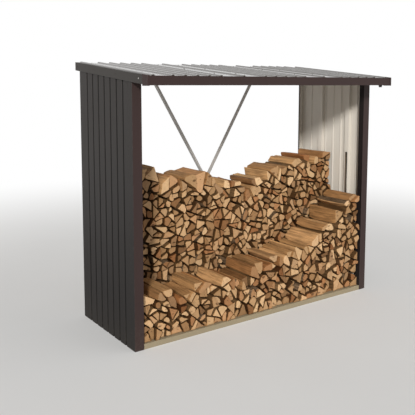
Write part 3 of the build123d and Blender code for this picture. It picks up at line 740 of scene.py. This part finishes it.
def reach_of(outline, middle, arm):
    """Distance from the middle of an outline to its side, in the direction of an arm."""
    ahead, nearest = arm.normalized(), 1.0
    for a, b in sides_of(outline):
        out = Vector(((b - a).y, -(b - a).x))
        facing = ahead.dot(out)
        if abs(facing) > 1e-9:
            away = (a - middle).dot(out) / facing
            if 0 < away < nearest:
                nearest = away
    return nearest


def tone_of(covered, rng, look):
    """Tone of a log's sawn ends: pale, or partly warm or weathered, and lighter on top."""
    luck = rng.random()
    if luck < look.warm_share:
        other, mix = look.warm, rng.uniform(0.45, 1.0)
    elif luck < look.warm_share + look.grey_share:
        other, mix = look.grey, rng.uniform(0.5, 1.0)
    else:
        other, mix = look.warm, rng.uniform(0.0, 0.3)
    tone = Vector(look.pale).lerp(Vector(other), mix)
    dark = rng.uniform(0.46, 1.0) + (0.0 if covered else 0.08)
    return Vector((tone.x * dark, tone.y * dark ** 1.2, tone.z * dark ** 1.45))


def skin_log(bm, layers, rows, on_bark, tone, stack_shade_share, pith):
    """Faces of a log from its sections, with their tone, painted shade deeper in covered logs, and
    place about the pith.
    """
    def lay(corners, finish, shade, smooth):
        face = bm.faces.new(corners)
        face.material_index, face.smooth = finish, smooth
        for loop in face.loops:
            loop[layers["tone"]] = (*shade, 1.0)
            loop[layers["grain"]].uv = (loop.vert.co.x - pith.x, loop.vert.co.z - pith.y)

    for step, (low, high) in enumerate(zip(rows, rows[1:])):
        for i, bark in enumerate(on_bark):
            j = (i + 1) % len(on_bark)
            # behind the first section, the split faces of covered logs take painted shade
            lay((low[i], low[j], high[j], high[i]), 2 if bark else 1,
                tone * (stack_shade_share if step else 1.0), True)
    lay(rows[0][::-1], 0, tone, False)
    lay(rows[-1], 0, tone, False)


def add_log(bm, layers, log, covered, foot, rng, look):
    """Add one log to the mesh: rounded ends, torn faces and its tone.

    Under others it fills its room from a hand's width behind its ends. A lowest log closes its
    foot all along.
    """
    outline, near, far = log
    xs = [corner.x for corner in outline]
    stand = [corner.x for corner in outline if corner.y < foot + ON_FOOT]
    shape, round_side = whittle(outline, foot, rng, look)
    if not shape or len(shape) < 3:
        return
    ring = softened(shape, rng)
    middle = centre_of(ring)
    soles = [p.x for p in ring if p.y < foot + SOLE]
    tone = tone_of(covered, rng, look)
    back = rng.uniform(0.0, 0.012)
    back += (rng.uniform(0.01, 0.03) if rng.random() < SET_BACK else 0.0) * (not stand)
    near, far = near + back, far - rng.uniform(0.0, 0.015)
    lean = Vector((rng.gauss(0, LEAN), rng.gauss(0, LEAN)))
    twist, start = rng.gauss(0, TWIST), rng.gauss(0, TURN)
    slip = Vector((rng.gauss(0, SLIP), rng.gauss(0, SLIP)))
    offset = Vector([rng.uniform(0, 50) for _ in range(3)])
    places = [near, near + RIM, near + (far - near) * 0.25, (near + far) / 2,
              near + (far - near) * 0.76, far - RIM, far]
    rows = []
    for k, (y, swell) in enumerate(zip(places, SWELL)):
        t = (y - near) / (far - near)
        turn = Matrix.Rotation(start + twist * (t - 0.5) * 2, 2)
        sawn = k in (0, len(places) - 1)
        row = []
        for p in ring:
            arm = p - middle
            if swell and (covered or arm.y < -0.3 * arm.length):
                arm *= 1 + ((reach_of(outline, middle, arm) + LAP) / arm.length - 1) * swell
            grain = Vector((p.x * ACROSS, y * DOWN, p.y * ACROSS)) + offset
            size = arm.length
            kept = size - (DRAWN if sawn else 0.0) - SHAVED - noise.noise(grain) * TORN
            arm = arm * max(0.3, kept / max(size, CRUMB))
            q = middle + turn @ arm + slip * math.sin(math.pi * t) * 2
            q = Vector((min(max(q.x, min(xs) - PRESS), max(xs) + PRESS), max(q.y, foot)))
            if len(stand) > 1 and p.y < foot + SOLE and not sawn:
                part = (p.x - min(soles)) / max(max(soles) - min(soles), CRUMB)
                q = Vector((min(stand) - SPREAD, foot)).lerp(
                    Vector((max(stand) + SPREAD, foot)), part)
            tilt = (p - middle).dot(lean) * (1 - t)
            row.append(bm.verts.new((q.x, y + tilt, q.y)))
        rows.append(row)
    pith = middle + Vector((rng.uniform(-0.09, 0.09), rng.uniform(-0.09, 0.09)))
    rng.random()  # passed over, so that each seed keeps its logs
    on_bark = [False] * len(ring)
    if round_side:
        at, out = round_side
        on_bark = [((a + b) / 2 - at).dot(out) > 0.0004 for a, b in sides_of(ring)]
    skin_log(bm, layers, rows, on_bark, tone, look.stack_shade if covered else 1.0, pith)


def split_logs(node, seed):
    """Piece that stands for one bay of firewood."""
    look = bpy.context.scene.firewood_look
    rng = random.Random(seed)
    bm = bmesh.new()
    layers = {"tone": bm.loops.layers.float_color.new("tone"),
              "grain": bm.loops.layers.uv.new("grain")}
    logs = logs_of(node)
    middles = [centre_of(log[0]) for log in logs]
    foot = min(corner.y for log in logs for corner in log[0])
    for log, at in zip(logs, middles):
        covered = any(ABOVE[0] < other.y - at.y < ABOVE[1] and abs(other.x - at.x) < BESIDE
                      for other in middles)
        for room in halves(log[0], covered, rng, look):
            add_log(bm, layers, (room, *log[1:]), covered, foot, rng, look)
    bmesh.ops.recalc_face_normals(bm, faces=bm.faces)
    for edge in bm.edges:
        edge.smooth = len(edge.link_faces) == 2 and edge.calc_face_angle() < CREASE
    piece = piece_from(node + "_logs", bm, ("Sawn Ends", "Split Faces", "Bark"))
    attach(piece, "root")
    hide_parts(node)


# Fixings

SOCKETS = ("Head Radius", "Head Height", "Tip Share", "Head Sides", "Washer Radius",
           "Washer Height")
RIB, ROOF_FOLD = 0.009, 0.0106  # height of a roof panel's ribs, and of its whole section
SCREW_ROW = 0.018  # from a rail's front edge to its roof screws
PANELS = (-0.772, 0.0, 0.772)  # middles of the roof panels
FLATS = (-0.29, -0.048, 0.048, 0.29)  # where a panel lies on the rails
VERGE_RIVETS, DROP = (0.045, 0.36, 0.68, 0.965), 0.026  # shares of the length, depth
POST_RIVETS, INSET = (0.12, 0.66, 1.2, 1.7), 0.014  # heights, distance from the post's edge
BOLT_IN, BOLT_UP = 0.03, 0.028  # brace bolts from the ends of the bars
SEAT = 0.0012  # thickness of a washer or of a blind rivet's rim


def fixing_tree():
    """Geometry Nodes that set a head and a washer on each point, along its facing."""
    tree = bpy.data.node_groups.new("Fixings", "GeometryNodeTree")
    for way in ("OUTPUT", "INPUT"):
        tree.interface.new_socket("Geometry", in_out=way, socket_type="NodeSocketGeometry")
    for label in (*SOCKETS, "Material"):
        kind = {"Head Sides": "Int", "Material": "Material"}.get(label, "Float")
        tree.interface.new_socket(label, in_out="INPUT", socket_type="NodeSocket" + kind)
    take = put(tree, "NodeGroupInput")
    give = tree.nodes.new("NodeGroupOutput").inputs

    def disc(sides, top, bottom, depth, height):
        """A head or washer whose foot lies at some height."""
        shape = put(tree, "GeometryNodeMeshCone", {"Vertices": sides, "Radius Top": top,
                                                   "Radius Bottom": bottom, "Depth": depth})[0]
        lift = put(tree, "CombineXYZ", {2: height})[0]
        return put(tree, "GeometryNodeTransform", {"Geometry": shape, "Translation": lift})[0]

    tip = maths(tree, "MULTIPLY", take["Head Radius"], take["Tip Share"])
    rim = maths(tree, "MULTIPLY", take["Washer Radius"], 0.86)
    both = tree.nodes.new("GeometryNodeJoinGeometry")
    tree.links.new(disc(take["Head Sides"], tip, take["Head Radius"], take["Head Height"],
                        take["Washer Height"]), both.inputs[0])
    tree.links.new(disc(16, rim, take["Washer Radius"], take["Washer Height"], 0.0),
                   both.inputs[0])
    facing = put(tree, "GeometryNodeInputNamedAttribute", {"Name": "facing"},
                 data_type="FLOAT_VECTOR")[0]
    turn = put(tree, "FunctionNodeAlignRotationToVector", {"Vector": facing}, axis="Z")[0]
    placed = put(tree, "GeometryNodeInstanceOnPoints",
                 {"Points": take["Geometry"], "Instance": both.outputs[0], "Rotation": turn})[0]
    real = put(tree, "GeometryNodeRealizeInstances", {0: placed})[0]
    done = put(tree, "GeometryNodeSetMaterial",
               {"Geometry": real, "Material": take["Material"]})[0]
    feed(tree, give, {"Geometry": done})
    return tree


def fixings(name, spots, paint, sizes):
    """Piece of screws or rivets, one on each spot, a place with its facing."""
    tree = bpy.data.node_groups.get("Fixings") or fixing_tree()
    mesh = bpy.data.meshes.new(name)
    mesh.from_pydata([at for at, facing in spots], [], [])
    facings = mesh.attributes.new("facing", "FLOAT_VECTOR", "POINT")
    facings.data.foreach_set("vector", [v for at, facing in spots for v in facing])
    holder = place(name + "_points", mesh)
    modifier = holder.modifiers.new("Fixings", "NODES")
    modifier.node_group = tree
    wanted = {**dict(zip(SOCKETS, sizes)), "Material": finishes()[paint]}
    for item in tree.interface.items_tree:
        if item.in_out == "INPUT" and item.name in wanted:
            modifier[item.identifier] = wanted[item.name]
    depsgraph = bpy.context.evaluated_depsgraph_get()
    made = bpy.data.meshes.new_from_object(holder.evaluated_get(depsgraph))
    made.name = name
    bpy.data.objects.remove(holder)
    bpy.data.meshes.remove(mesh)
    piece = place(name, made)
    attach(piece, "root")


def roof_line():
    """Function that gives the height of the roof's flats at a depth, and their upward facing."""
    low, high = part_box("roof_panel_middle")
    slope = (high.z - low.z - ROOF_FOLD) / (high.y - low.y)
    front = high.z - RIB - slope * (high.y - low.y)
    return lambda y: front + (y - low.y) * slope, Vector((0.0, -slope, 1.0)).normalized()


# Studio

WHITE = (1, 1, 1, 1)
FLOOR_RADIUS = 60.0
FLOOR_FADES = (2.2, 7.5)  # distances between which the floor fades into white
LAMPS = (("key_lamp", 1.0, 9.0, (67.5, 0.0, -40.0)),  # share of the key, spread and turn in degrees
         ("fill_lamp", 0.1, 60.0, (62.0, 0.0, 52.0)))
SENSOR, LENS_IN_PIXELS, PICTURE_IN_PIXELS, LENS_SHIFT = 36.0, 615.5, 415, -0.14
CAMERA_AT, CAMERA_DIP, CAMERA_TURN = (-3.0477, -3.8700, 1.7925), 0.1040, -0.6139


# Operators

class LOGSTORE_OT_walls(bpy.types.Operator):
    """Paint the side walls, dark outside and pale inside, with painted shade behind the uprights"""

    bl_idname = "logstore.walls"
    bl_label = "Side Walls"

    def execute(self, context):
        dress_sheet(("side_wall_left", "side_wall_right"),
                    ("Wall Paint", "Inside Lacquer"), outside_or_inside,
                    [y for strip in hidden_strips() for y in strip])
        return {"FINISHED"}


class LOGSTORE_OT_posts(bpy.types.Operator):
    """Paint the corner posts, the front posts' inner sides in painted shade, and the wall uprights
    in their inside lacquer
    """

    bl_idname = "logstore.posts"
    bl_label = "Posts and Uprights"

    def execute(self, context):
        dress_sheet(("front_post_left", "front_post_right"),
                    ("Post Paint", "Post Lining", "Wall Paint"), outer_or_inner)
        dress_sheet(("rear_post_left", "rear_post_right"),
                    ("Post Paint", "Inside Lacquer", "Wall Paint"), rear_or_front)
        dress_sheet(("wall_upright_left_front", "wall_upright_left_rear",
                     "wall_upright_right_front", "wall_upright_right_rear"),
                    ("Inside Lacquer", "Primer"), hat_or_hollow)
        return {"FINISHED"}


class LOGSTORE_OT_roof(bpy.types.Operator):
    """Finish the ribbed roof panels, the verges and the rear trim"""

    bl_idname = "logstore.roof"
    bl_label = "Roof"

    def execute(self, context):
        dress_sheet(("roof_panel_left", "roof_panel_middle", "roof_panel_right"),
                    ("Roof Paint", "Inside Lacquer"), top_or_underside)
        dress_sheet(("verge_left", "verge_right", "roof_rear_trim"),
                    ("Trim Paint",))
        return {"FINISHED"}


class LOGSTORE_OT_gutter(bpy.types.Operator):
    """Finish the gutter, its end caps and its outlet spout"""

    bl_idname = "logstore.gutter"
    bl_label = "Gutter"

    def execute(self, context):
        dress_sheet(("gutter", "gutter_cap_left", "gutter_cap_right"),
                    ("Post Paint",))
        dress_sheet(("gutter_spout",), ("Spout Plastic",))
        return {"FINISHED"}


class LOGSTORE_OT_framework(bpy.types.Operator):
    """Finish the rails, bearers, rafters and cross braces"""

    bl_idname = "logstore.framework"
    bl_label = "Framework"

    def execute(self, context):
        dress_sheet(("foot_rail_rear", "foot_rail_left", "foot_rail_right", "floor_bearers",
                     "header_front", "header_rear", "roof_purlin", "rafter_left", "rafter_right",
                     "brace_bar_falling", "brace_bar_rising", "brace_plates"),
                    ("Zinc",))
        dress_sheet(("foot_rail_front",), ("Foot Rail Paint",))
        return {"FINISHED"}


class LOGSTORE_OT_firewood(bpy.types.Operator):
    """Split and stack the firewood in its bays"""

    bl_idname = "logstore.firewood"
    bl_label = "Firewood"

    def execute(self, context):
        seed = context.scene.firewood_look.seed
        for k, node in enumerate(sorted(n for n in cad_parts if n.startswith("firewood"))):
            split_logs(node, seed * 100 + k)
        return {"FINISHED"}


class LOGSTORE_OT_fixings(bpy.types.Operator):
    """Set the roof screws, the rivets of the verges and posts, and the bolts of the braces"""

    bl_idname = "logstore.fixings"
    bl_label = "Screws and Rivets"

    def execute(self, context):
        sizes = context.scene.fixing_sizes
        hexes = (sizes.head, sizes.head_high, 0.92, 6, sizes.washer, SEAT)
        blind = (sizes.rivet * 0.55, 0.0008, 0.7, 10, sizes.rivet, SEAT)
        bolts = (sizes.bolt, sizes.bolt * 0.7, 0.95, 6, sizes.bolt * 1.35, 0.002)
        roof_at, up = roof_line()
        rails = ("header_front", "roof_purlin", "header_rear")
        spots = [(Vector((panel + x, y, roof_at(y))), up)
                 for y in (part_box(rail)[0].y + SCREW_ROW for rail in rails)
                 for panel in PANELS for x in FLATS]
        fixings("roof_screws", spots, "Roof Paint", hexes)
        spots, bare, sides = [], [], ((-1, "left"), (1, "right"))
        for side, word in sides:
            low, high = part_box("verge_" + word)
            for t in VERGE_RIVETS:
                y = low.y + (high.y - low.y) * t
                at = Vector((low.x if side < 0 else high.x, y, roof_at(y) - DROP))
                (bare if t == VERGE_RIVETS[0] else spots).append((at, Vector((side, 0, 0))))
        for side, word in sides:
            low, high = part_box("front_post_" + word)
            for z in POST_RIVETS:
                at = Vector((low.x if side < 0 else high.x, high.y - INSET, z))
                spots.append((at, Vector((side, 0, 0))))
        fixings("edge_rivets", spots, "Trim Paint", blind)
        fixings("corner_rivets", bare, "Zinc", blind)
        spots = []
        for node, side in (("brace_bar_falling", -1), ("brace_bar_rising", 1)):
            low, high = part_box(node)
            for end in (-1, 1):
                z = high.z - BOLT_UP if end * side > 0 else low.z + BOLT_UP
                spots.append((Vector((end * (high.x - BOLT_IN), low.y, z)), Vector((0, -1, 0))))
        fixings("brace_bolts", spots, "Zinc", bolts)
        return {"FINISHED"}


class LOGSTORE_OT_stage(bpy.types.Operator):
    """Lay the pale floor and set the light and the camera"""

    bl_idname = "logstore.stage"
    bl_label = "Studio"

    def execute(self, context):
        look, scene = context.scene.stage_look, context.scene
        bm = bmesh.new()
        bmesh.ops.create_circle(bm, cap_ends=True, segments=96, radius=FLOOR_RADIUS)
        floor = piece_from("studio_floor", bm)
        tree, surface, where = material("Studio Floor")
        cloud = ramp(tree, speckle(tree, where, scale=0.8), (0.3, 0.7), (0.985, 1.0))
        feed(tree, surface, {"Base Color": shaded(tree, (*look.floor, 1.0), cloud),
                             "Roughness": 0.95, "Specular IOR Level": 0.0})
        white = put(tree, "Emission", {"Color": WHITE, "Strength": 1.0})[0]
        fade = maths(tree, "MULTIPLY", ramp(tree, size_of(tree, where), FLOOR_FADES),
                     looked_at(tree))
        end = next(n for n in tree.nodes if n.type == "OUTPUT_MATERIAL").inputs[0]
        plain = end.links[0].from_socket
        tree.links.new(put(tree, "MixShader", {0: fade, 1: plain, 2: white})[0], end)
        floor.data.materials.append(bpy.data.materials["Studio Floor"])

        world = bpy.data.worlds.new("Studio Sky")
        world.use_nodes = True
        scene.world = world
        sky = world.node_tree
        shown = next(n for n in sky.nodes if n.type == "BACKGROUND")
        strength = put(sky, "MapRange", {"Value": looked_at(sky), "To Min": look.sky})[0]
        feed(sky, shown.inputs, {"Color": WHITE, "Strength": strength})

        for name, gain, spread, turn in LAMPS:
            lamp = bpy.data.lights.new(name, "SUN")
            lamp.energy = look.key * gain
            lamp.angle = math.radians(spread)
            lit = place(name, lamp)
            lit.rotation_euler = Euler([math.radians(v) for v in turn])
            lit.visible_glossy = False

        lens = bpy.data.cameras.new("camera")
        lens.sensor_width = SENSOR
        lens.lens = LENS_IN_PIXELS / PICTURE_IN_PIXELS * SENSOR
        lens.shift_y = LENS_SHIFT
        camera = place("camera", lens)
        camera.location = CAMERA_AT
        camera.rotation_euler = (math.pi / 2 - CAMERA_DIP, 0.0, CAMERA_TURN)
        scene.camera = camera
        scene.view_settings.view_transform = "Standard"
        return {"FINISHED"}


class LOGSTORE_PT_panel(bpy.types.Panel):
    """Lists the steps and their settings"""

    bl_idname = "LOGSTORE_PT_panel"
    bl_label = "Log Store"
    bl_space_type = "VIEW_3D"
    bl_region_type = "UI"
    bl_category = "Log Store"

    def draw(self, context):
        for step in STEPS:
            self.layout.operator(step.bl_idname)
        for holder in SETTINGS:
            box = self.layout.box()
            settings = getattr(context.scene, holder)
            for label in settings.__annotations__:
                box.prop(settings, label)


SETTINGS = {"sheet_finish": SheetFinish, "firewood_look": FirewoodLook,
            "fixing_sizes": FixingSizes, "stage_look": StageLook}
STEPS = (LOGSTORE_OT_stage, LOGSTORE_OT_walls, LOGSTORE_OT_posts, LOGSTORE_OT_roof,
         LOGSTORE_OT_gutter, LOGSTORE_OT_framework, LOGSTORE_OT_firewood, LOGSTORE_OT_fixings)
CLASSES = (*SETTINGS.values(), *STEPS, LOGSTORE_PT_panel)


def register():
    for each in CLASSES:
        bpy.utils.register_class(each)
    for holder, each in SETTINGS.items():
        setattr(bpy.types.Scene, holder, PointerProperty(type=each))


def unregister():
    for holder in SETTINGS:
        delattr(bpy.types.Scene, holder)
    for each in reversed(CLASSES):
        bpy.utils.unregister_class(each)


def main():
    """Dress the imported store."""
    register()
    for step in STEPS:
        group, name = step.bl_idname.split(".")
        getattr(getattr(bpy.ops, group), name)()


if __name__ == "__main__":
    main()
